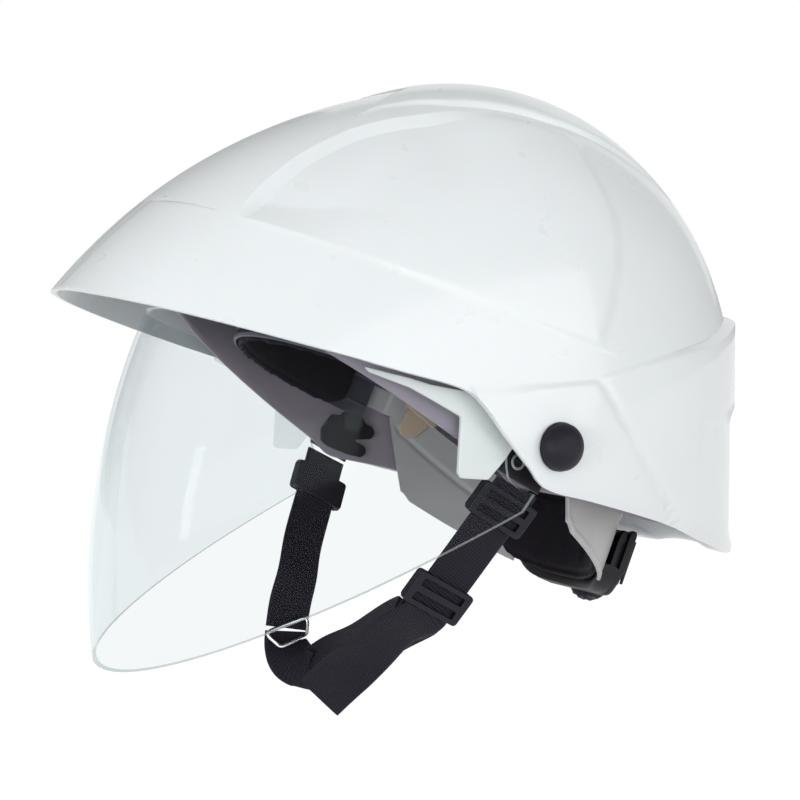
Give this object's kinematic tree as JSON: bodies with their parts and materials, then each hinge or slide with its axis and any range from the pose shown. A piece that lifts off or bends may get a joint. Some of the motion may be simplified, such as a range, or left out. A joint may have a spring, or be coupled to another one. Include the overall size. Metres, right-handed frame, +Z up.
{
  "type": "arc flash helmet",
  "caption": "Peaked protective helmet with a clear swing-down visor, inner cap, ratchet headband and webbing chin strap.",
  "frame": {"origin": "centre of the headband ring, where the wearer's head seats, 20 mm above and 4 mm ahead of the visor's pivot axis", "axes": "+Z up out of the crown, -Y the way the wearer looks, +X to the wearer's left; the visor's pivot axis is parallel to X"},
  "size_m": [0.2196, 0.3611, 0.3045],
  "materials": {
    "shell_white": "glossy moulded thermoplastic",
    "cap_grey": "moulded, pale lilac grey",
    "visor_clear": "clear optical sheet with a faint green tint",
    "black_gloss": "polished dark blue-black",
    "black_plastic": "satin moulded",
    "pale_plastic": "satin moulded",
    "band_plastic": "satin moulded",
    "steel": "bright turned",
    "wire": "bright plated wire",
    "washer": "hard fibre",
    "webbing": "woven polyester webbing",
    "crown_webbing": "woven polyester webbing",
    "padding": "knitted cover over foam"
  },
  "bodies": {
    "shell": {"outer_shell": "shell_white", "inner_cap": "cap_grey", "left_pivot_axle": "steel", "right_pivot_axle": "steel", "left_pivot_knob": "black_gloss", "right_pivot_knob": "black_gloss", "pivot_spacers": "black_plastic", "friction_washers": "washer", "lock_nuts": "steel", "headband": "band_plastic", "sweatband": "padding", "crown_strap_left": "crown_webbing", "crown_strap_right": "crown_webbing", "suspension_clips": "pale_plastic", "left_strap_anchor": "black_plastic", "right_strap_anchor": "black_plastic", "anchor_eyelets": "steel"},
    "visor": {"visor": "visor_clear"},
    "nape": {"left_nape_band": "pale_plastic", "right_nape_band": "pale_plastic", "nape_pad": "padding", "ratchet_housing": "black_plastic", "ratchet_cover": "black_plastic"},
    "ratchet": {"ratchet_wheel": "black_gloss", "ratchet_pinion": "pale_plastic"},
    "chin_strap": {"left_strap_lug": "black_plastic", "right_strap_lug": "black_plastic", "left_side_strap": "webbing", "right_side_strap": "webbing", "under_chin_strap": "webbing", "strap_tail": "webbing", "lower_slider": "black_gloss", "wire_loop": "wire"},
    "left_slider": {"left_upper_slider": "black_gloss"},
    "right_slider": {"right_upper_slider": "black_gloss"}
  },
  "joints": [
    {"name": "visor_hinge", "type": "hinge", "parent": "shell", "child": "visor", "pos_m": [0, 0.004, -0.02], "axis": [-1, 0, 0], "range_deg": [0, 45]},
    {"name": "nape_slide", "type": "slide", "parent": "shell", "child": "nape", "axis": [0, 0.9135, -0.4067], "range_m": [-0.01, 0.01]},
    {"name": "wheel_turn", "type": "hinge", "parent": "nape", "child": "ratchet", "pos_m": [0, 0.101, -0.0953], "axis": [0, 0.9135, -0.4067], "range_deg": [-90, 90]},
    {"name": "chin_strap_swing", "type": "hinge", "parent": "shell", "child": "chin_strap", "pos_m": [0, -0.0095, -0.027], "axis": [-1, 0, 0], "range_deg": [-12, 20]},
    {"name": "left_slider_slide", "type": "slide", "parent": "chin_strap", "child": "left_slider", "axis": [-0.3498, -0.463, -0.8144], "range_m": [0, 0.022]},
    {"name": "right_slider_slide", "type": "slide", "parent": "chin_strap", "child": "right_slider", "axis": [0.3498, -0.463, -0.8144], "range_m": [-0.005, 0.014]}
  ],
  "couplings": [
    {"joint": "wheel_turn", "follows": "nape_slide", "rad_per_m": 153.85}
  ]
}
